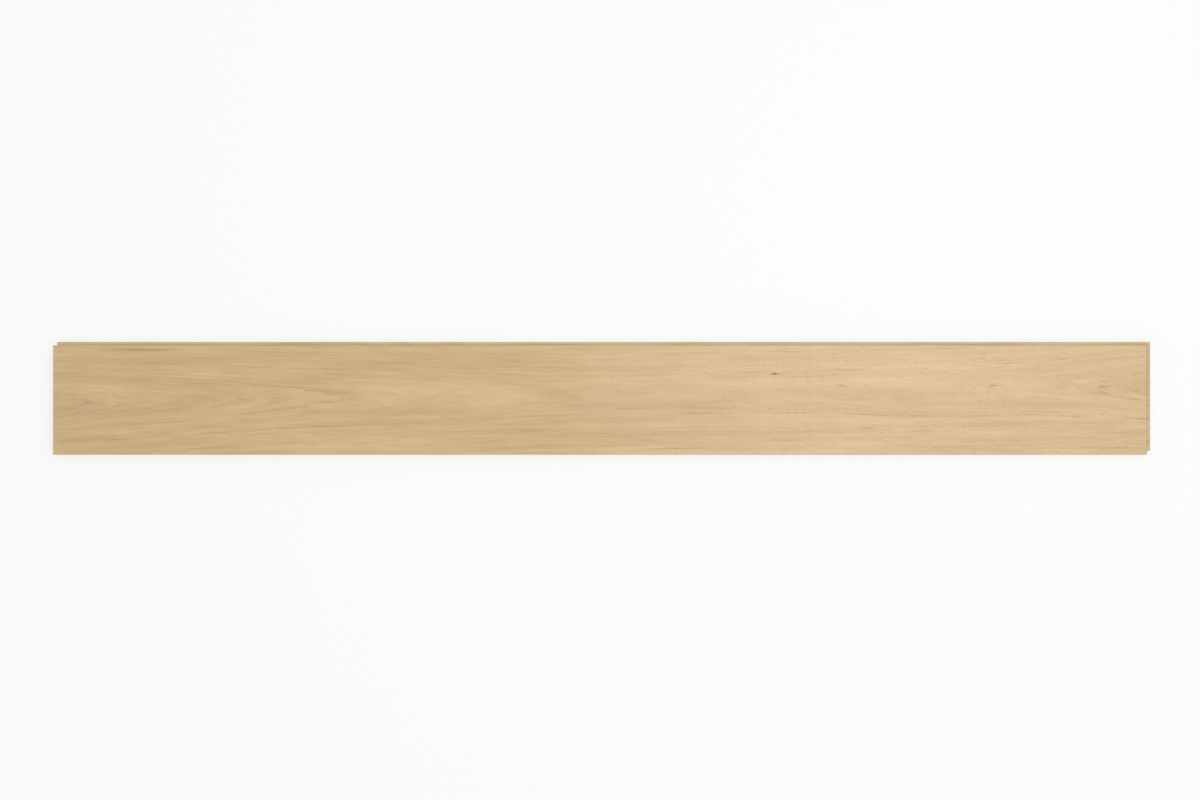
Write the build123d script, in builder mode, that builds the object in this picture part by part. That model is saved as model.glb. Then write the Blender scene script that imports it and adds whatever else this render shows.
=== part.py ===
"""Engineered hardwood plank: an oak wear layer bonded to a cross-laminated birch core.

The plank lies face up, with its length along X, its tongues towards +X and +Y and its grooves
towards -X and -Y. The origin is on the underside, below the middle of the face.
"""

import os

from build123d import *

# Every dimension is in millimetres.

# The face, measured shoulder to shoulder: one plank covers this much floor.
FACE_LENGTH = 1900.0
FACE_WIDTH = 190.0
MICRO_BEVEL = 0.8

# The veneers. Under the wear layer, plies whose grain runs across the plank alternate with plies
# whose grain runs along it, and the last of those is the backing.
WEAR_LAYER = 4.0
CROSS_PLY = 1.25
LONG_PLY = 1.5
PLY_PAIRS = 4

# The tongue and groove, on all four sides. The groove is milled between two glue lines: the plies
# over it make its upper lip with the wear layer, and those below it make its lower lip.
LIP_PLY_COUNT = 1
GROOVE_PLY_COUNT = 3
GROOVE_DEPTH = 6.5
GROOVE_LEAD_IN = 0.5
LOWER_LIP_SETBACK = 0.4
TONGUE_PLAY = 0.1
NOSE_GAP = 0.5
NOSE_CHAMFER = 0.8

# Worked out from the sizes above.
PLIES = [CROSS_PLY, LONG_PLY] * PLY_PAIRS
CORE = sum(PLIES)
THICKNESS = CORE + WEAR_LAYER
GROOVE_TOP = CORE - sum(PLIES[:LIP_PLY_COUNT])
GROOVE_BOTTOM = CORE - sum(PLIES[: LIP_PLY_COUNT + GROOVE_PLY_COUNT])
TONGUE_TOP = GROOVE_TOP - TONGUE_PLAY
TONGUE_BOTTOM = GROOVE_BOTTOM + TONGUE_PLAY
TONGUE_REACH = GROOVE_DEPTH - NOSE_GAP


def lay_up():
    """Returns each veneer's name and thickness, from the face down."""
    names = ["oak_wear_layer"]
    for pair in range(1, PLY_PAIRS + 1):
        names += [f"cross_ply_{pair}", f"long_ply_{pair}"]
    names[-1] = "backing_ply"
    return zip(names, [WEAR_LAYER, *PLIES])


def milled_section(plane, face_span):
    """Returns the plank's section over one span of its face, with the groove at the span's start.

    The two lips of the groove close over the neighbour's tongue. The upper one sets the span, and
    the lower one stands back, so that the joint always shuts at the face.
    """
    groove_edge = -face_span / 2
    tongue_edge = face_span / 2
    groove_floor = groove_edge + GROOVE_DEPTH
    lower_lip = groove_edge + LOWER_LIP_SETBACK
    nose = tongue_edge + TONGUE_REACH
    upper_lip_corner = (groove_edge, GROOVE_TOP)
    lower_lip_corner = (lower_lip, GROOVE_BOTTOM)
    with BuildSketch(plane) as section:
        with BuildLine():
            Polyline(
                (lower_lip, 0),
                (tongue_edge, 0),
                (tongue_edge, TONGUE_BOTTOM),
                (nose, TONGUE_BOTTOM),
                (nose, TONGUE_TOP),
                (tongue_edge, TONGUE_TOP),
                (tongue_edge, THICKNESS),
                (groove_edge, THICKNESS),
                upper_lip_corner,
                (groove_floor, GROOVE_TOP),
                (groove_floor, GROOVE_BOTTOM),
                lower_lip_corner,
                close=True,
            )
        make_face()
        face_corners = section.vertices().group_by(Axis.Y)[-1]
        chamfer(face_corners, MICRO_BEVEL)
        nose_corners = section.vertices().group_by(Axis.X)[-1]
        chamfer(nose_corners, NOSE_CHAMFER)
        for lip_corner in (upper_lip_corner, lower_lip_corner):
            chamfer(section.vertices().sort_by_distance(lip_corner)[0], GROOVE_LEAD_IN)
    return section.sketch


os.makedirs("parts", exist_ok=True)

# The outline that milling leaves: the long sides' section, trimmed by the ends' section.
with BuildPart() as milled_outline:
    extrude(milled_section(Plane.YZ, FACE_WIDTH), amount=FACE_LENGTH, both=True)
    extrude(milled_section(Plane.XZ, FACE_LENGTH), amount=FACE_WIDTH, both=True, mode=Mode.INTERSECT)

# Each veneer starts as an oversize sheet at its place in the lay-up, and is then milled with the rest.
sheet_top = THICKNESS
for veneer_name, veneer_thickness in lay_up():
    sheet_bottom = sheet_top - veneer_thickness
    with BuildPart() as veneer:
        with BuildSketch(Plane.XY.offset(sheet_bottom)):
            Rectangle(2 * FACE_LENGTH, 2 * FACE_WIDTH)
        extrude(amount=veneer_thickness)
        add(milled_outline.part, mode=Mode.INTERSECT)
    veneer.part.label = veneer_name
    export_step(veneer.part, f"parts/{veneer_name}.step")
    sheet_top = sheet_bottom
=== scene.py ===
"""Looks of an engineered hardwood plank: an open-grained oak face over a cross-laminated birch core.

The plank lies face up on a pale floor, and the camera looks straight down at it. Meshes, lamps and
camera are in metres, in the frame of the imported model. Wood is worked out in millimetres, from the
place of each point in it, so that the grain runs on through bevels and edges as in a sawn board.
"""

from __future__ import annotations

import logging
from collections.abc import Mapping
from dataclasses import dataclass
from enum import Enum
from typing import Any

import bmesh
import bpy
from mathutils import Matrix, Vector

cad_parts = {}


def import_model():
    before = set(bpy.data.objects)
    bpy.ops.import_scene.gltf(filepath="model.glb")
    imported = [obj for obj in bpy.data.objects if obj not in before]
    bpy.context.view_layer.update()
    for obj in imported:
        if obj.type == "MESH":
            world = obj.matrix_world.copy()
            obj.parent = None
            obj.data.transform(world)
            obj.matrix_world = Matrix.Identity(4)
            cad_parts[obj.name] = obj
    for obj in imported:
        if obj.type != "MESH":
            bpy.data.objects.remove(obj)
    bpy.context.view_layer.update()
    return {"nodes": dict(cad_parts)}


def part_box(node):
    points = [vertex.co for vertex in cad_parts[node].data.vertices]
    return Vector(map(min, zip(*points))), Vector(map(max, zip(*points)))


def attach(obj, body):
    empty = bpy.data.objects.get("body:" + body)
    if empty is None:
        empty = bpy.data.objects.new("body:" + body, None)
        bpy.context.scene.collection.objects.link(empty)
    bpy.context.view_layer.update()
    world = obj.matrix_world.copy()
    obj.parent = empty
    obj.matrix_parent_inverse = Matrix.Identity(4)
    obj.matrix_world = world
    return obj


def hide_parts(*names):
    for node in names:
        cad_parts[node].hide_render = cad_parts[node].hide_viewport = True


LOG = logging.getLogger("plank")

BODY = "root"
MM_PER_METRE = 1000.0
METRES_PER_MM = 0.001
TINY = 0.00001
NOISE_MIDDLE = 0.5

# The Mix node repeats its sockets' names for each kind of data, so those for colours go by number.
MIX_SHARE = 0
MIX_FIRST = 6
MIX_SECOND = 7
MIX_RESULT = 2

Colour = tuple[float, float, float, float]
WHITE: Colour = (1.0, 1.0, 1.0, 1.0)


def paint(red: int, green: int, blue: int) -> Colour:
    """Turns a colour as a screen shows it into the linear one that a shader takes.

    Args:
        red: Red from 0 to 255.
        green: Green from 0 to 255.
        blue: Blue from 0 to 255.

    Returns:
        The linear colour, with an alpha of 1.
    """
    shares = [level / 255 for level in (red, green, blue)]
    linear = [
        share / 12.92 if share <= 0.04045 else ((share + 0.055) / 1.055) ** 2.4
        for share in shares
    ]
    return (*linear, 1.0)


@dataclass(frozen=True)
class Ramp:
    """A smooth step, which is 0 up to its start.

    Attributes:
        start: Where it leaves 0.
        end: Where it reaches its height, and keeps it. It may be the smaller of the two.
        height: Its height.
    """

    start: float
    end: float
    height: float = 1.0


@dataclass(frozen=True)
class Pattern:
    """Smooth noise in the wood.

    Attributes:
        lengths: The size of its patches along each axis, in millimetres.
        strength: What it is multiplied by. Without that, it goes from -0.5 to 0.5.
        shift: Sets it apart from other patterns.
        detail: Octaves of finer noise on top.
    """

    lengths: tuple[float, float, float]
    strength: float
    shift: float
    detail: float = 0.0


class Field:
    """A node's socket that can stand in a Python expression."""

    def __init__(self, graph: Graph, socket: bpy.types.NodeSocket) -> None:
        """Wraps a socket of the graph's tree."""
        self.graph = graph
        self.socket = socket

    def _math(self, operation: str, *operands: Operand) -> Field:
        """Adds a Math node with these operands."""
        return self.graph.field("ShaderNodeMath", {"operation": operation}, dict(enumerate(operands)))

    def __add__(self, other: Operand) -> Field:
        """Adds."""
        return self._math("ADD", self, other)

    __radd__ = __add__

    def __sub__(self, other: Operand) -> Field:
        """Takes away."""
        return self._math("SUBTRACT", self, other)

    def __rsub__(self, other: Operand) -> Field:
        """Is taken away."""
        return self._math("SUBTRACT", other, self)

    def __mul__(self, other: Operand) -> Field:
        """Multiplies."""
        return self._math("MULTIPLY", self, other)

    __rmul__ = __mul__

    def __truediv__(self, other: Operand) -> Field:
        """Divides."""
        return self._math("DIVIDE", self, other)

    def __abs__(self) -> Field:
        """Drops the sign."""
        return self._math("ABSOLUTE", self)

    def __lt__(self, other: Operand) -> Field:
        """Is 1 where it is less than the other, else 0."""
        return self._math("LESS_THAN", self, other)

    def root(self) -> Field:
        """Takes the square root."""
        return self._math("SQRT", self)

    def sine(self) -> Field:
        """Takes the sine."""
        return self._math("SINE", self)

    def sign(self) -> Field:
        """Keeps the sign alone."""
        return self._math("SIGN", self)

    def floor(self) -> Field:
        """Rounds down."""
        return self._math("FLOOR", self)

    def fraction(self) -> Field:
        """Keeps what is left after rounding down."""
        return self._math("FRACT", self)

    def least(self, other: Operand) -> Field:
        """Takes the smaller of the two."""
        return self._math("MINIMUM", self, other)

    def most(self, other: Operand) -> Field:
        """Takes the larger of the two."""
        return self._math("MAXIMUM", self, other)

    def clipped(self) -> Field:
        """Holds it between 0 and 1."""
        return self.most(0.0).least(1.0)

    def on(self, ramp: Ramp) -> Field:
        """Gives a ramp's height at this value."""
        inputs = {"Value": self, "From Min": ramp.start, "From Max": ramp.end, "To Max": ramp.height}
        return self.graph.field("ShaderNodeMapRange", {"interpolation_type": "SMOOTHSTEP"}, inputs)


Operand = Field | float


class Graph:
    """A node tree that is filled from Python expressions."""

    def __init__(self, tree: bpy.types.NodeTree) -> None:
        """Takes the tree to fill, and empties it."""
        tree.nodes.clear()
        self.tree = tree

    def node(
        self,
        kind: str,
        settings: Mapping[str, Any] | None = None,
        inputs: Mapping[str | int, Any] | None = None,
    ) -> bpy.types.Node:
        """Adds any node.

        Args:
            kind: The node's type.
            settings: Properties of the node, set before its sockets.
            inputs: Values or fields for its sockets, by name or number.

        Returns:
            The new node.
        """
        node = self.tree.nodes.new(kind)
        for name, value in (settings or {}).items():
            setattr(node, name, value)
        for key, value in (inputs or {}).items():
            if isinstance(value, Field):
                self.tree.links.new(value.socket, node.inputs[key])
            else:
                node.inputs[key].default_value = value
        return node

    def field(
        self,
        kind: str,
        settings: Mapping[str, Any] | None = None,
        inputs: Mapping[str | int, Any] | None = None,
        output: str | int = 0,
    ) -> Field:
        """Adds any node and gives one of its outputs.

        Args:
            kind: The node's type.
            settings: Properties of the node, set before its sockets.
            inputs: Values or fields for its sockets, by name or number.
            output: The wanted output, by name or number.

        Returns:
            The output as a field.
        """
        return Field(self, self.node(kind, settings, inputs).outputs[output])

    def vector(self, x: Operand = 0.0, y: Operand = 0.0, z: Operand = 0.0) -> Field:
        """Makes a vector."""
        return self.field("ShaderNodeCombineXYZ", inputs={0: x, 1: y, 2: z})

    def parts(self, vector: Field) -> tuple[Field, Field, Field]:
        """Takes a vector apart.

        Args:
            vector: The vector.

        Returns:
            Its X, Y and Z.
        """
        node = self.node("ShaderNodeSeparateXYZ", inputs={0: vector})
        x, y, z = (Field(self, output) for output in node.outputs)
        return x, y, z

    def facing(self) -> tuple[Field, Field, Field]:
        """Tells how squarely a surface faces along X, Y and Z, either way, from 0 to 1."""
        x, y, z = self.parts(self.field("ShaderNodeTexCoord", output="Normal"))
        return abs(x), abs(y), abs(z)

    def blend(self, share: Field, first: Field | Colour, second: Field | Colour) -> Field:
        """Lays a second colour over a first.

        Args:
            share: How much of the second colour shows, from 0 to 1.
            first: The colour at 0.
            second: The colour at 1.

        Returns:
            The new colour.
        """
        inputs = {MIX_SHARE: share, MIX_FIRST: first, MIX_SECOND: second}
        return self.field("ShaderNodeMix", {"data_type": "RGBA"}, inputs, MIX_RESULT)


@dataclass(frozen=True)
class WoodSurface:
    """How light meets bare or lacquered wood.

    Attributes:
        bump_strength: How much of the fine relief shows.
    """

    bump_strength: float = 0.6

    def finish(self, graph: Graph, colour: Field, roughness: Field, height: Field) -> None:
        """Ends a material.

        Args:
            graph: The material's graph.
            colour: Its colour.
            roughness: Its roughness.
            height: Its fine relief, in metres.
        """
        relief = {"Strength": self.bump_strength, "Distance": 1.0, "Height": height}
        normal = graph.field("ShaderNodeBump", inputs=relief)
        inputs = {"Base Color": colour, "Roughness": roughness, "Normal": normal}
        shader = graph.field("ShaderNodeBsdfPrincipled", inputs=inputs)
        graph.node("ShaderNodeOutputMaterial", inputs={"Surface": shader})


class Place:
    """A point's place in the wood, in millimetres."""

    def __init__(self, graph: Graph, vector: Field) -> None:
        """Takes the point and splits its place.

        Args:
            graph: The graph that works with it.
            vector: Its place, in millimetres.
        """
        self.graph = graph
        self.vector = vector
        self.x, self.y, self.z = graph.parts(vector)

    @classmethod
    def from_metres(cls, graph: Graph, position: Field) -> Place:
        """Takes a position in metres."""
        scale = {0: position, "Scale": MM_PER_METRE}
        return cls(graph, graph.field("ShaderNodeVectorMath", {"operation": "SCALE"}, scale))

    @classmethod
    def on_object(cls, graph: Graph) -> Place:
        """Takes the shaded point of a piece."""
        return cls.from_metres(graph, graph.field("ShaderNodeTexCoord", output="Object"))

    def noise(self, pattern: Pattern) -> Field:
        """Gives a pattern's value here.

        Args:
            pattern: The pattern.

        Returns:
            The value, around 0.
        """
        per_patch = [1 / length for length in pattern.lengths]
        scaled = self.graph.field(
            "ShaderNodeVectorMath",
            {"operation": "MULTIPLY_ADD"},
            {0: self.vector, 1: per_patch, 2: [pattern.shift] * 3},
        )
        inputs = {"Vector": scaled, "Scale": 1.0, "Detail": pattern.detail}
        noise = self.graph.field("ShaderNodeTexNoise", inputs=inputs)
        return (noise - NOISE_MIDDLE) * pattern.strength


@dataclass(frozen=True)
class Mark:
    """A knot, stain, streak or patch in the face. Lengths are in millimetres.

    Attributes:
        x: Place of its middle along the plank.
        y: Place of its middle across the plank.
        half_length: Reach along the plank.
        half_width: Reach across the plank.
        strength: How much it shows. Below 0 it makes the wood deeper, where a mark can do both.
        tilt: How far it goes across the plank for each millimetre along it.
        bend: How far it pushes the growth rings outwards.
    """

    x: float
    y: float
    half_length: float
    half_width: float
    strength: float
    tilt: float = 0.0
    bend: float = 0.0

    def hump(self, place: Place, height: float, spread: float = 1.0, ragged: Operand = 0.0) -> Field:
        """Gives a value that is high on the mark.

        Args:
            place: The place in the wood.
            height: The value in the middle of the mark.
            spread: Multiplies the mark's reach.
            ragged: What makes its rim uneven, as a share of its reach.

        Returns:
            The value, down to 0 at the rim.
        """
        ahead = place.x - self.x
        aside = place.y - ahead * self.tilt - self.y
        along = ahead / (self.half_length * spread)
        across = aside / (self.half_width * spread)
        return ((along * along + across * across).root() + ragged).on(Ramp(1.0, 0.0, height))


@dataclass(frozen=True)
class OakGrowth:
    """How the oak grew, and how the board was sawn out of it. Lengths are in millimetres.

    The pith runs along the plank, deep under its face. It is deepest at the crown and comes nearer
    towards both ends, so the rings meet the face in long arches that open towards the ends.

    Attributes:
        face_height: Height of the face over the plank's underside.
        knots: Knots that push the rings aside.
        ring_width: Width of an ordinary ring.
        first_ring: Where the count of rings starts, as a share of a ring.
        swing: How fast wide and narrow rings take turns, in radians for each millimetre.
        swing_size: How far that shifts a ring, as a share of a ring.
        pith_depth: Depth of the pith under the face, at the crown.
        crown: Place of the crown along the plank.
        rise: How much nearer the pith is, one metre from the crown.
        pith_y: Place of the pith across the plank, at mid length.
        pith_turn: How far the pith goes across the plank for each millimetre along it.
        knot_spread: How much further than its stain a knot disturbs the rings.
        early_start: How early wood sets in, over a ring from 0 to 1.
        early_end: How it gives way to late wood, over a ring from 0 to 1.
        poor_year: Share of early wood in the poorest year.
        clear: How clearly early wood shows.
        clearer: How much clearer it shows towards the grooved end.
        wander: How the pith strays sideways.
        sway: How the pith strays in depth.
        ripple: How the rings stray from circles.
        fading: How the early wood comes and goes along a ring.
    """

    face_height: float
    knots: tuple[Mark, ...]
    ring_width: float = 2.4
    first_ring: float = 0.3
    swing: float = 0.7
    swing_size: float = 0.15
    pith_depth: float = 97.0
    crown: float = 200.0
    rise: float = 19.4
    pith_y: float = 10.0
    pith_turn: float = 0.014
    knot_spread: float = 2.5
    early_start: Ramp = Ramp(0.0, 0.1)
    early_end: Ramp = Ramp(0.75, 0.1)
    poor_year: float = 0.2
    clear: float = 0.37
    clearer: Ramp = Ramp(-330.0, -650.0, 0.2)
    wander: Pattern = Pattern((420, 110, 110), 12.0, 3.1)
    sway: Pattern = Pattern((260, 140, 140), 4.0, 11.7)
    ripple: Pattern = Pattern((60, 12, 12), 1.8, 23.9, 1.0)
    fading: Pattern = Pattern((75, 5, 5), 2.6, 41.3, 1.0)

    def radius(self, place: Place) -> Field:
        """Measures from the pith out to a place.

        Args:
            place: The place in the wood.

        Returns:
            The distance, in millimetres, with the rings' ripples and bends in it.
        """
        along = (place.x - self.crown) * METRES_PER_MM
        pith_height = self.face_height - self.pith_depth
        depth = place.z + place.noise(self.sway) - along * along * self.rise - pith_height
        side = place.y - place.x * self.pith_turn - place.noise(self.wander) - self.pith_y
        radius = (side * side + depth * depth).root() + place.noise(self.ripple)
        for knot in self.knots:
            radius = radius + knot.hump(place, knot.bend, self.knot_spread)
        return radius

    def early_wood(self, place: Place, radius: Field) -> Field:
        """Tells how much of the soft, open early wood of a ring is at a place.

        Args:
            place: The place in the wood.
            radius: Its distance from the pith.

        Returns:
            1 in the middle of a strong band of early wood, down to 0 in late wood.
        """
        shifted = (radius * self.swing).sine() * self.swing_size + self.first_ring
        rings = radius / self.ring_width + shifted
        within = rings.fraction()
        band = within.on(self.early_start) * within.on(self.early_end)
        year = {"W": rings.floor()}
        chance = place.graph.field("ShaderNodeTexWhiteNoise", {"noise_dimensions": "1D"}, year)
        plenty = chance * chance * (1.0 - self.poor_year) + self.poor_year
        clear = place.x.on(self.clearer) + place.noise(self.fading) + self.clear
        return (band * plenty * clear).clipped()


@dataclass(frozen=True)
class OakFinish:
    """Natural oak under a matte lacquer.

    The tone of the wood goes from 0, its deep colour, to 1, its pale one.

    Attributes:
        growth: The rings that the pattern follows.
        half_length: Half of the face's length, in millimetres.
        half_width: Half of the face's width, in millimetres.
        stains: Marks that brown the wood.
        streaks: Marks that make its tone paler or, below 0, deeper.
        pale: Late wood at its lightest.
        deep: Wood at its darkest.
        pore: The inside of an open pore.
        brown: Stained wood, and the rim of a knot.
        heart: The heart of a knot, which is the clearer the stronger the knot is.
        end_grain: The wood where the grain is cut through.
        tone: The ordinary tone.
        early_tone: How much deeper early wood is.
        broad: Slow changes of tone.
        clouds: Soft patches of tone.
        years: Tones of good and poor years, which follow the rings.
        dashes: Short streaks, which follow the rings.
        fibres: Fine fibres.
        vessels: Long thin cells.
        early_vessels: How much wider they are in early wood.
        open_pore: How wide a vessel is where it is cut open.
        pore_shade: How dark an open pore is.
        rays: Bundles of ray cells.
        dark_ray: How a bundle deepens the tone where it comes to the face.
        ragged: What makes the rims of stains and knots uneven.
        heart_size: Reach of a knot's heart, as a share of the knot's.
        cut_grain: How end grain shows where a surface faces along the plank.
        end_rings: How much darker early wood is on end grain.
        end_rays: Bundles of ray cells on end grain.
        pale_ray: How pale such a bundle is.
        edge_shade: Painted shade on the bevel round the face, partly also lacquer pooled there: how much
            deeper the colour is near the edges of the face, in millimetres from them.
        roughness: Roughness of the lacquer.
        dash_roughness: How much the short streaks change it.
        pore_roughness: How much rougher an open pore is.
        fibre_relief: How far the fibres stand out, in metres.
        pore_relief: How deep an open pore is, in metres.
    """

    growth: OakGrowth
    half_length: float
    half_width: float
    stains: tuple[Mark, ...]
    streaks: tuple[Mark, ...]
    pale: Colour = paint(227, 200, 152)
    deep: Colour = paint(181, 147, 99)
    pore: Colour = paint(146, 107, 65)
    brown: Colour = paint(118, 80, 44)
    heart: Colour = paint(92, 59, 31)
    end_grain: Colour = paint(168, 128, 82)
    tone: float = 0.64
    early_tone: float = 0.28
    broad: Pattern = Pattern((300, 42, 40), 0.35, 53.0, 1.0)
    clouds: Pattern = Pattern((85, 13, 13), 0.26, 59.0, 1.0)
    years: Pattern = Pattern((300, 4.2, 50), 0.42, 67.0, 1.0)
    dashes: Pattern = Pattern((70, 1.5, 14), 0.36, 61.0, 1.0)
    fibres: Pattern = Pattern((34, 0.6, 0.6), 0.5, 71.0, 1.0)
    vessels: Pattern = Pattern((8.5, 0.25, 0.25), 1.0, 83.0)
    early_vessels: float = 0.26
    open_pore: Ramp = Ramp(0.22, 0.29)
    pore_shade: float = 0.45
    rays: Pattern = Pattern((22, 0.5, 0.5), 1.0, 97.0)
    dark_ray: Ramp = Ramp(0.2, 0.27, 0.2)
    ragged: Pattern = Pattern((7, 0.9, 0.9), 1.8, 113.0, 2.0)
    heart_size: float = 0.6
    cut_grain: Ramp = Ramp(0.6, 0.95, 0.75)
    end_rings: float = 1.5
    end_rays: Pattern = Pattern((8, 25, 0.45), 1.0, 101.0)
    pale_ray: Ramp = Ramp(0.1, 0.18, 0.4)
    edge_shade: Ramp = Ramp(1.1, 0.5, 0.3)
    roughness: float = 0.29
    dash_roughness: float = 0.4
    pore_roughness: float = 0.2
    fibre_relief: float = 0.00006
    pore_relief: float = 0.00006

    def material(self) -> bpy.types.Material:
        """Builds the material.

        Returns:
            The material.
        """
        material = bpy.data.materials.new("lacquered_oak")
        material.use_nodes = True
        graph = Graph(material.node_tree)
        place = Place.on_object(graph)
        radius = self.growth.radius(place)
        early = self.growth.early_wood(place, radius)
        grown = Place(graph, graph.vector(place.x, radius, place.y))
        dash = grown.noise(self.dashes)
        fibre = place.noise(self.fibres)
        pore = (place.noise(self.vessels) + early * self.early_vessels).on(self.open_pore)
        tone = self._tone(place) + grown.noise(self.years) + dash + fibre - early * self.early_tone
        face = self._face(graph, place, tone, pore)
        facing_x, _, _ = graph.facing()
        colour = graph.blend(facing_x.on(self.cut_grain), face, self._end(graph, grown, early))
        roughness = self.roughness + dash * self.dash_roughness + pore * self.pore_roughness
        height = fibre * self.fibre_relief - pore * self.pore_relief
        WoodSurface().finish(graph, colour, roughness, height)
        return material

    def _tone(self, place: Place) -> Field:
        """Works out the tone before any rings are on it.

        Args:
            place: The place in the wood.

        Returns:
            The tone.
        """
        ray = place.noise(self.rays).on(self.dark_ray)
        tone = self.tone + place.noise(self.broad) + place.noise(self.clouds) - ray
        for streak in self.streaks:
            tone = tone + streak.hump(place, streak.strength)
        return tone

    def _face(self, graph: Graph, place: Place, tone: Field, pore: Field) -> Field:
        """Colours the wood along the grain.

        Args:
            graph: The material's graph.
            place: The place in the wood.
            tone: The wood's tone there.
            pore: 1 in an open pore, else 0.

        Returns:
            The colour.
        """
        colour = graph.blend(tone.clipped(), self.deep, self.pale)
        colour = graph.blend(pore * self.pore_shade, colour, self.pore)
        ragged = place.noise(self.ragged)
        for stain in self.stains:
            colour = graph.blend(stain.hump(place, stain.strength, ragged=ragged), colour, self.brown)
        for knot in self.growth.knots:
            inner = knot.hump(place, knot.strength**2, self.heart_size, ragged)
            colour = graph.blend(inner, colour, self.heart)
        # Painted shade: the colour darkens towards the deep tone on the bevel round the face, partly
        # also for lacquer pooled there.
        to_edge = (self.half_length - abs(place.x)).least(self.half_width - abs(place.y))
        return graph.blend(to_edge.on(self.edge_shade), colour, self.deep)

    def _end(self, graph: Graph, grown: Place, early: Field) -> Field:
        """Colours the end grain, where rings and rays are cut across.

        Args:
            graph: The material's graph.
            grown: The place along the plank, out from the pith and across the plank.
            early: How much early wood is there.

        Returns:
            The colour.
        """
        rings = graph.blend((early * self.end_rings).clipped(), self.end_grain, self.pore)
        return graph.blend(grown.noise(self.end_rays).on(self.pale_ray), rings, self.deep)


class Grain(Enum):
    """The way a veneer's grain runs on the plank."""

    ALONG = "along"
    ACROSS = "across"


@dataclass(frozen=True)
class BirchFinish:
    """Bare birch veneer, peeled from the log and milled at its edges.

    Its tone goes from 0, its deep colour, to 1, its pale one. The lengths of its patterns run with
    the grain, then across the veneer, then through it.

    Attributes:
        grain: The way its grain runs.
        bottom: Height of its lower side, in millimetres.
        top: Height of its upper side, in millimetres.
        pale: Its lightest wood.
        deep: Its darkest wood.
        end_grain: Its colour where the grain is cut through.
        glue: The glue lines, and the inside of a crack.
        tone: The ordinary tone.
        figure: The contours that peeling leaves.
        figure_slant: How far the contours move for each millimetre through the veneer.
        figure_start: How a contour sets in, over a band from 0 to 1.
        figure_end: How it fades, over a band from 0 to 1.
        figure_tone: How much deeper a contour is.
        streaks: Streaks along the grain.
        fibres: Fine fibres.
        cut_grain: How end grain shows where a surface faces along the grain.
        end_shade: How much of the end grain's colour shows.
        end_fibres: How much the fibres change that.
        checks: Small cracks from peeling.
        open_check: Where such a crack is open.
        check_shade: How dark an open crack is.
        glue_line: How dark the glue is, in millimetres from it.
        milled_edge: How much of the glue shows as a surface turns away from the veneer's plane.
        roughness: Roughness of bare wood.
        streak_roughness: How much the streaks change it.
        relief: How far fibres and streaks stand out, in metres.
        check_relief: How deep a crack is, in metres.
    """

    grain: Grain
    bottom: float
    top: float
    pale: Colour = paint(228, 203, 162)
    deep: Colour = paint(200, 168, 122)
    end_grain: Colour = paint(162, 126, 83)
    glue: Colour = paint(96, 66, 42)
    tone: float = 0.68
    figure: Pattern = Pattern((520, 60, 9), 9.0, 5.0, 1.0)
    figure_slant: float = 0.6
    figure_start: Ramp = Ramp(0.0, 0.12)
    figure_end: Ramp = Ramp(0.8, 0.12)
    figure_tone: float = 0.34
    streaks: Pattern = Pattern((180, 2.4, 0.9), 0.9, 17.0, 2.0)
    fibres: Pattern = Pattern((9, 0.3, 0.22), 0.9, 29.0, 1.0)
    cut_grain: Ramp = Ramp(0.45, 0.85)
    end_shade: float = 0.8
    end_fibres: float = 0.6
    checks: Pattern = Pattern((40, 0.55, 5.0), 1.0, 37.0)
    open_check: Ramp = Ramp(0.2, 0.26)
    check_shade: float = 0.35
    glue_line: Ramp = Ramp(0.11, 0.05, 0.7)
    milled_edge: Ramp = Ramp(0.9, 0.7)
    roughness: float = 0.72
    streak_roughness: float = 0.3
    relief: float = 0.00004
    check_relief: float = 0.0001

    def material(self, name: str) -> bpy.types.Material:
        """Builds the material.

        Args:
            name: The material's name.

        Returns:
            The material.
        """
        material = bpy.data.materials.new(name)
        material.use_nodes = True
        graph = Graph(material.node_tree)
        place = Place.on_object(graph)
        facing_x, facing_y, facing_z = graph.facing()
        if self.grain is Grain.ALONG:
            turned = place
            cut = facing_x.on(self.cut_grain)
        else:
            turned = Place(graph, graph.vector(place.y, place.x, place.z))
            cut = facing_y.on(self.cut_grain)
        streak = turned.noise(self.streaks)
        fibre = turned.noise(self.fibres)
        check = turned.noise(self.checks).on(self.open_check) * cut
        contour = (turned.noise(self.figure) + place.z * self.figure_slant).fraction()
        figured = contour.on(self.figure_start) * contour.on(self.figure_end)
        tone = self.tone + streak + fibre - figured * self.figure_tone
        colour = graph.blend(tone.clipped(), self.deep, self.pale)
        colour = graph.blend(cut * (self.end_shade + fibre * self.end_fibres), colour, self.end_grain)
        colour = graph.blend(check * self.check_shade, colour, self.glue)
        to_glue = abs(place.z - self.top).least(abs(place.z - self.bottom))
        glued = to_glue.on(self.glue_line) * facing_z.on(self.milled_edge)
        colour = graph.blend(glued, colour, self.glue)
        roughness = self.roughness + streak * self.streak_roughness
        height = (fibre + streak) * self.relief - check * self.check_relief
        WoodSurface().finish(graph, colour, roughness, height)
        return material


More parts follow.
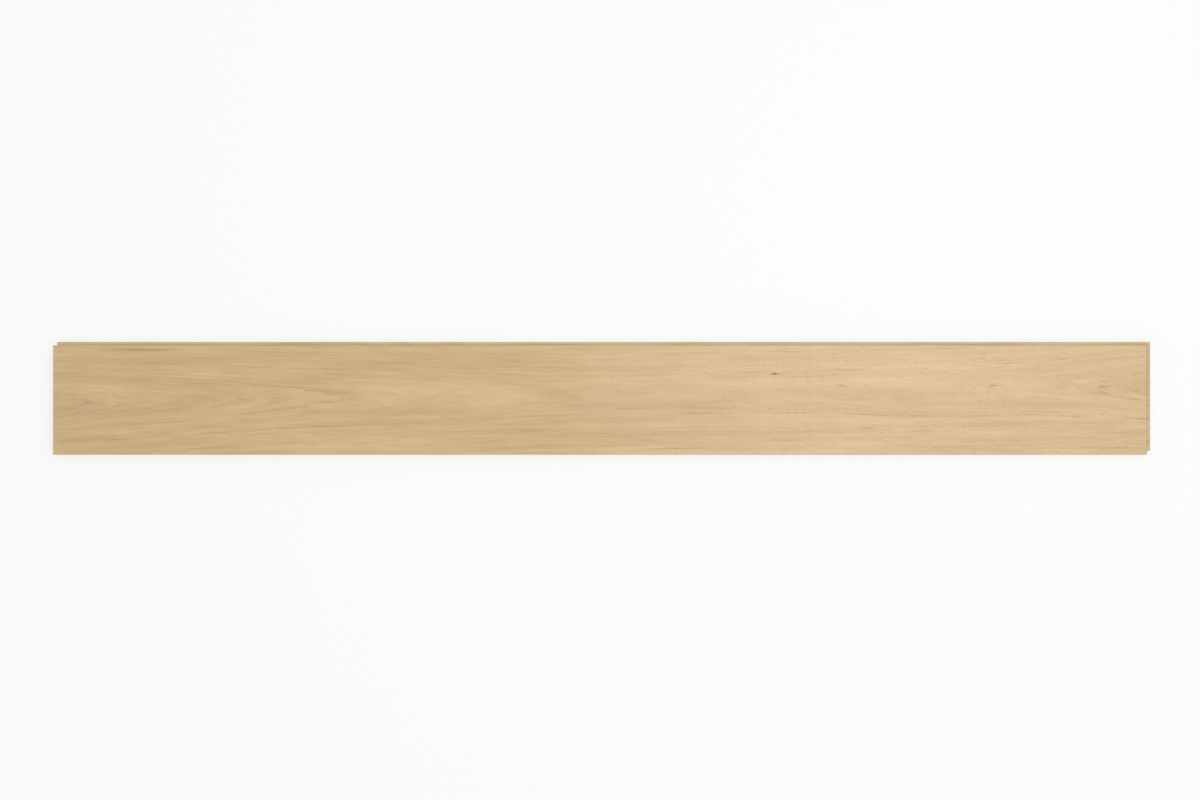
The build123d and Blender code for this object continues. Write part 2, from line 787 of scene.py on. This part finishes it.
@dataclass
class WearLayer:
    """The oak lamella. Its face is bevelled, and its grain is open: early wood lies a little deeper.

    Attributes:
        node: The CAD node that it stands for.
        slot: A name for its finish. It is not used.
        bevel: Width and height of the bevel round the face, in metres.
        grain_depth: How deep early wood lies at most, in metres.
        calm_rim: How the relief sets in, in metres from the bevel.
        columns: Points along the face.
        rows: Points across the face.
        sharp: How far faces turn at an edge that stays crisp, in radians.
    """

    node: str = "oak_wear_layer"
    slot: str = "oak_face"
    bevel: float = 0.0008
    grain_depth: float = 0.0001
    calm_rim: Ramp = Ramp(0.0, 0.002)
    columns: int = 401
    rows: int = 190
    sharp: float = 0.4

    def build(self, growth: OakGrowth, finish: OakFinish) -> bpy.types.Object:
        """Makes the lamella and puts it in the CAD node's place.

        Args:
            growth: The rings that the relief follows.
            finish: The finish.

        Returns:
            The finished piece.
        """
        low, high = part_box(self.node)
        sizes = {
            "Length": high.x - low.x,
            "Width": high.y - low.y,
            "Back Height": low.z,
            "Face Height": high.z,
            "Bevel": self.bevel,
            "Grain Depth": self.grain_depth,
            "Columns": self.columns,
            "Rows": self.rows,
            "Finish": finish.material(),
        }
        piece = bpy.data.objects.new("oak_lamella", bpy.data.meshes.new("oak_lamella"))
        bpy.context.scene.collection.objects.link(piece)
        modifier = piece.modifiers.new("open_grain", "NODES")
        modifier.node_group, sockets = self._tree(growth)
        for name, size in sizes.items():
            modifier[sockets[name]] = size
        bpy.context.view_layer.update()
        made = piece.evaluated_get(bpy.context.evaluated_depsgraph_get())
        piece.data = bpy.data.meshes.new_from_object(made)
        piece.modifiers.clear()
        self._turn_outwards(piece.data)
        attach(piece, BODY)
        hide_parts(self.node)
        return piece

    def _tree(self, growth: OakGrowth) -> tuple[bpy.types.NodeTree, dict[str, str]]:
        """Builds the tree that makes the lamella.

        Args:
            growth: The rings that the relief follows.

        Returns:
            The tree, and the identifier of each of its inputs by name.
        """
        tree = bpy.data.node_groups.new("oak_lamella", "GeometryNodeTree")
        graph = Graph(tree)
        lengths = ("Length", "Width", "Back Height", "Face Height", "Bevel", "Grain Depth")
        kinds = dict.fromkeys(lengths, "NodeSocketFloat")
        kinds |= {"Columns": "NodeSocketInt", "Rows": "NodeSocketInt", "Finish": "NodeSocketMaterial"}
        sockets = {
            name: tree.interface.new_socket(name, in_out="INPUT", socket_type=kind).identifier
            for name, kind in kinds.items()
        }
        tree.interface.new_socket("Lamella", in_out="OUTPUT", socket_type="NodeSocketGeometry")
        group = graph.node("NodeGroupInput")
        size = {name: Field(graph, group.outputs[name]) for name in kinds}

        face = self._face(graph, size, growth)
        shell = self._shell(graph, size, face)
        shading = {"Geometry": shell, "Shade Smooth": True}
        smooth = graph.field("GeometryNodeSetShadeSmooth", inputs=shading)
        real = graph.field("GeometryNodeRealizeInstances", inputs={"Geometry": smooth})
        finish = {"Geometry": real, "Material": size["Finish"]}
        dressed = graph.field("GeometryNodeSetMaterial", inputs=finish)
        graph.node("NodeGroupOutput", inputs={"Lamella": dressed})
        return tree, sockets

    def _face(self, graph: Graph, size: Mapping[str, Field], growth: OakGrowth) -> Field:
        """Makes the face inside the bevel, with its relief.

        Args:
            graph: The tree's graph.
            size: The tree's inputs by name.
            growth: The rings that the relief follows.

        Returns:
            The face.
        """
        inside = {
            "Size X": size["Length"] - size["Bevel"] * 2.0,
            "Size Y": size["Width"] - size["Bevel"] * 2.0,
            "Vertices X": size["Columns"],
            "Vertices Y": size["Rows"],
        }
        flat = graph.field("GeometryNodeMeshGrid", inputs=inside)
        face = self._moved(graph, flat, graph.vector(z=size["Face Height"]))
        place = Place.from_metres(graph, graph.field("GeometryNodeInputPosition"))
        early = growth.early_wood(place, growth.radius(place))
        _, _, to_end, to_side = self._to_rim(graph, size)
        calm = to_end.least(to_side).on(self.calm_rim)
        return self._moved(graph, face, graph.vector(z=size["Grain Depth"] * early * calm * -1.0))

    def _shell(self, graph: Graph, size: Mapping[str, Field], face: Field) -> Field:
        """Adds the bevel, the walls and the back to the face.

        Args:
            graph: The tree's graph.
            size: The tree's inputs by name.
            face: The face inside the bevel.

        Returns:
            The closed lamella.
        """
        x, y, to_end, to_side = self._to_rim(graph, size)
        outwards = graph.vector(
            x.sign() * (to_end < TINY) * size["Bevel"],
            y.sign() * (to_side < TINY) * size["Bevel"],
            size["Bevel"] * -1.0,
        )
        faces_beside = graph.field("GeometryNodeInputMeshEdgeNeighbors")
        border = faces_beside < 2.0
        slope, slope_rim = self._extruded(graph, face, border)
        bevelled = self._moved(graph, slope, outwards, slope_rim)
        wall, wall_rim = self._extruded(graph, bevelled, slope_rim)
        drop = size["Back Height"] - size["Face Height"] + size["Bevel"]
        walled = self._moved(graph, wall, graph.vector(z=drop), wall_rim)

        outline = graph.field("GeometryNodeMeshToCurve", inputs={"Mesh": walled, "Selection": wall_rim})
        filled = graph.field("GeometryNodeFillCurve", inputs={"Curve": outline})
        back = self._moved(graph, filled, graph.vector(z=size["Back Height"]))
        joined = graph.node("GeometryNodeJoinGeometry")
        for part in (walled, back):
            graph.tree.links.new(part.socket, joined.inputs[0])
        whole = Field(graph, joined.outputs[0])
        return graph.field("GeometryNodeMergeByDistance", inputs={"Geometry": whole, "Distance": TINY})

    @staticmethod
    def _to_rim(graph: Graph, size: Mapping[str, Field]) -> tuple[Field, Field, Field, Field]:
        """Measures from a point to the bevel.

        Args:
            graph: The tree's graph.
            size: The tree's inputs by name.

        Returns:
            The point's X and Y, and how far it is from the bevel at the ends and at the sides.
        """
        x, y, _ = graph.parts(graph.field("GeometryNodeInputPosition"))
        to_end = size["Length"] / 2.0 - size["Bevel"] - abs(x)
        to_side = size["Width"] / 2.0 - size["Bevel"] - abs(y)
        return x, y, to_end, to_side

    @staticmethod
    def _moved(graph: Graph, geometry: Field, offset: Field, selection: Field | bool = True) -> Field:
        """Moves points of a mesh.

        Args:
            graph: The tree's graph.
            geometry: The mesh.
            offset: How far the points go.
            selection: The points to move.

        Returns:
            The mesh with its points moved.
        """
        inputs = {"Geometry": geometry, "Offset": offset, "Selection": selection}
        return graph.field("GeometryNodeSetPosition", inputs=inputs)

    @staticmethod
    def _extruded(graph: Graph, geometry: Field, selection: Field) -> tuple[Field, Field]:
        """Extrudes edges of a mesh on the spot.

        Args:
            graph: The tree's graph.
            geometry: The mesh.
            selection: The edges to extrude.

        Returns:
            The mesh with its new faces, and the selection of its new rim.
        """
        inputs = {"Mesh": geometry, "Selection": selection, "Offset Scale": 0.0}
        node = graph.node("GeometryNodeExtrudeMesh", {"mode": "EDGES"}, inputs)
        return Field(graph, node.outputs["Mesh"]), Field(graph, node.outputs["Top"])

    def _turn_outwards(self, mesh: bpy.types.Mesh) -> None:
        """Points every face of a mesh outwards, and keeps its sharp edges crisp.

        Args:
            mesh: The mesh, which is changed.
        """
        shape = bmesh.new()
        shape.from_mesh(mesh)
        bmesh.ops.recalc_face_normals(shape, faces=shape.faces)
        for edge in shape.edges:
            edge.smooth = edge.calc_face_angle(0.0) < self.sharp
        shape.to_mesh(mesh)
        shape.free()


@dataclass
class Core:
    """The birch veneers under the face, in the places and shapes that the CAD gives them.

    Attributes:
        cross_plies: Nodes whose grain runs across the plank.
        long_plies: Nodes whose grain runs along the plank, with the backing last.
    """

    cross_plies: tuple[str, ...] = ("cross_ply_1", "cross_ply_2", "cross_ply_3", "cross_ply_4")
    long_plies: tuple[str, ...] = ("long_ply_1", "long_ply_2", "long_ply_3", "backing_ply")

    def dress(self, nodes: Mapping[str, bpy.types.Object]) -> list[bpy.types.Object]:
        """Gives every veneer its finish.

        Args:
            nodes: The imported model's objects by name.

        Returns:
            The dressed veneers.
        """
        runs = dict.fromkeys(self.cross_plies, Grain.ACROSS)
        runs |= dict.fromkeys(self.long_plies, Grain.ALONG)
        for name, grain in runs.items():
            low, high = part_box(name)
            finish = BirchFinish(grain, low.z * MM_PER_METRE, high.z * MM_PER_METRE)
            materials = nodes[name].data.materials
            materials.clear()
            materials.append(finish.material(f"birch_{name}"))
        return [nodes[name] for name in runs]


@dataclass
class Studio:
    """The floor, the light and the camera.

    Attributes:
        photo_width: Width of the picture, in pixels.
        face_span: How many of those pixels the plank's face takes.
        lens: Focal length, in millimetres, long enough that the view is nearly flat.
        sensor: Width of the sensor, in millimetres.
        floor_size: Width of the floor, in metres.
        floor_colour: The floor under the light.
        floor_roughness: Roughness of the floor.
        floor_glow: How much of the floor's white shows without shade.
        lamp_place: Middle of the soft lamp, in metres.
        lamp_length: Size of the soft lamp along the plank, in metres.
        lamp_width: Size of the soft lamp across the plank, in metres.
        lamp_power: Power of the soft lamp, in watts.
        room_light: Light from the room all round.
    """

    photo_width: int = 1200
    face_span: int = 1094
    lens: float = 100.0
    sensor: float = 36.0
    floor_size: float = 60.0
    floor_colour: Colour = (0.97, 0.97, 0.97, 1.0)
    floor_roughness: float = 0.9
    floor_glow: float = 0.7
    lamp_place: tuple[float, float, float] = (0.74, 0.3, 2.4)
    lamp_length: float = 1.2
    lamp_width: float = 0.8
    lamp_power: float = 12.0
    room_light: float = 0.77

    def build(self, face_length: float, face_height: float) -> bpy.types.Object:
        """Sets up the room.

        Args:
            face_length: Length of the plank's face, in metres.
            face_height: Height of the face, in metres.

        Returns:
            The floor.
        """
        self._room()
        self._lamp()
        self._camera(face_length, face_height)
        return self._floor()

    @staticmethod
    def _seen(graph: Graph) -> Field:
        """Tells what is seen, straight, in a reflection or through glass, from what only lights.

        Args:
            graph: The graph of a floor's or a room's material.

        Returns:
            1 for what is seen, else 0.
        """
        path = graph.node("ShaderNodeLightPath")
        kinds = ("Camera", "Glossy", "Transmission")
        camera, glossy, through = (Field(graph, path.outputs[f"Is {kind} Ray"]) for kind in kinds)
        return camera.most(glossy).most(through)

    def _room(self) -> None:
        """Makes the world: even light, and white where it is seen."""
        world = bpy.data.worlds.new("pale_room")
        world.use_nodes = True
        graph = Graph(world.node_tree)
        light = graph.field("ShaderNodeBackground", inputs={"Color": WHITE, "Strength": self.room_light})
        white = graph.field("ShaderNodeBackground", inputs={"Color": WHITE, "Strength": 1.0})
        mixed = graph.field("ShaderNodeMixShader", inputs={0: self._seen(graph), 1: light, 2: white})
        graph.node("ShaderNodeOutputWorld", inputs={"Surface": mixed})
        bpy.context.scene.world = world

    def _lamp(self) -> None:
        """Hangs the soft lamp over the plank, towards its tongues."""
        light = bpy.data.lights.new("soft_lamp", "AREA")
        light.shape = "RECTANGLE"
        light.size = self.lamp_length
        light.size_y = self.lamp_width
        light.energy = self.lamp_power
        lamp = bpy.data.objects.new("soft_lamp", light)
        lamp.location = self.lamp_place
        lamp.visible_camera = False
        bpy.context.scene.collection.objects.link(lamp)

    def _camera(self, face_length: float, face_height: float) -> None:
        """Looks straight down on the middle of the face, from as far as its span in the picture asks.

        Args:
            face_length: Length of the plank's face, in metres.
            face_height: Height of the face, in metres.
        """
        lens = bpy.data.cameras.new("overhead")
        lens.lens = self.lens
        lens.sensor_width = self.sensor
        view_width = face_length * self.photo_width / self.face_span
        camera = bpy.data.objects.new("overhead", lens)
        camera.location.z = face_height + view_width * self.lens / self.sensor
        bpy.context.scene.collection.objects.link(camera)
        bpy.context.scene.camera = camera

    def _floor(self) -> bpy.types.Object:
        """Lays the floor, white but for the plank's shadow.

        Returns:
            The floor.
        """
        half = self.floor_size / 2
        mesh = bpy.data.meshes.new("floor")
        corners = [(-half, -half, 0), (half, -half, 0), (half, half, 0), (-half, half, 0)]
        mesh.from_pydata(corners, [], [(0, 1, 2, 3)])
        material = bpy.data.materials.new("white_floor")
        material.use_nodes = True
        graph = Graph(material.node_tree)
        matte = {"Base Color": self.floor_colour, "Roughness": self.floor_roughness}
        plain = graph.field("ShaderNodeBsdfPrincipled", inputs=matte)
        glow = graph.field("ShaderNodeEmission", inputs={"Color": WHITE, "Strength": 1.0})
        share = self._seen(graph) * self.floor_glow
        mixed = graph.field("ShaderNodeMixShader", inputs={0: share, 1: plain, 2: glow})
        graph.node("ShaderNodeOutputMaterial", inputs={"Surface": mixed})
        mesh.materials.append(material)
        floor = bpy.data.objects.new("floor", mesh)
        bpy.context.scene.collection.objects.link(floor)
        return floor


KNOTS = (
    Mark(303, 45.5, 10, 3.2, 0.75, bend=1.2),
    Mark(683, 25, 15, 3.5, 0.4, bend=1.0),
    Mark(873, 23, 15, 3.5, 0.4, bend=1.0),
    Mark(419, 25, 12, 5, 0.3, bend=1.0),
)
STAINS = (
    Mark(313, 45, 26, 4, 0.16),
    Mark(560, -54, 28, 7, 0.2),
    Mark(463, -49, 22, 2.6, 0.35),
)
STREAKS = (
    Mark(545, 27, 150, 12, 0.06),
    Mark(775, 7, 120, 3, 0.2, tilt=-0.09),
    Mark(850, 34, 100, 5, 0.16, tilt=0.06),
    Mark(-330, -57, 420, 3.5, -0.16, tilt=0.033),
    Mark(-126, 24, 110, 4, -0.12, tilt=-0.11),
    Mark(-800, 87, 100, 4.5, -0.5),
    # A broad deeper band over the lower half of the face, along the middle of the plank.
    Mark(130, -62, 560, 34, -0.12),
)


def main() -> None:
    """Builds the plank and the room around it."""
    logging.basicConfig(level=logging.INFO, format="%(name)s: %(message)s")
    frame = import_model()
    bpy.context.scene.view_settings.view_transform = "Standard"

    wear_layer = WearLayer()
    low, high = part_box(wear_layer.node)
    half_length, half_width, face_height = (length * MM_PER_METRE for length in high)
    growth = OakGrowth(face_height, KNOTS)
    finish = OakFinish(growth, half_length, half_width, KNOTS + STAINS, STREAKS)
    lamella = wear_layer.build(growth, finish)
    LOG.info("%s: %d faces", lamella.name, len(lamella.data.polygons))
    for ply in Core().dress(frame["nodes"]):
        LOG.info("%s: dressed as %s", ply.name, ply.data.materials[0].name)
    floor = Studio().build(high.x - low.x, high.z)
    LOG.info("%s: laid", floor.name)


if __name__ == "__main__":
    main()
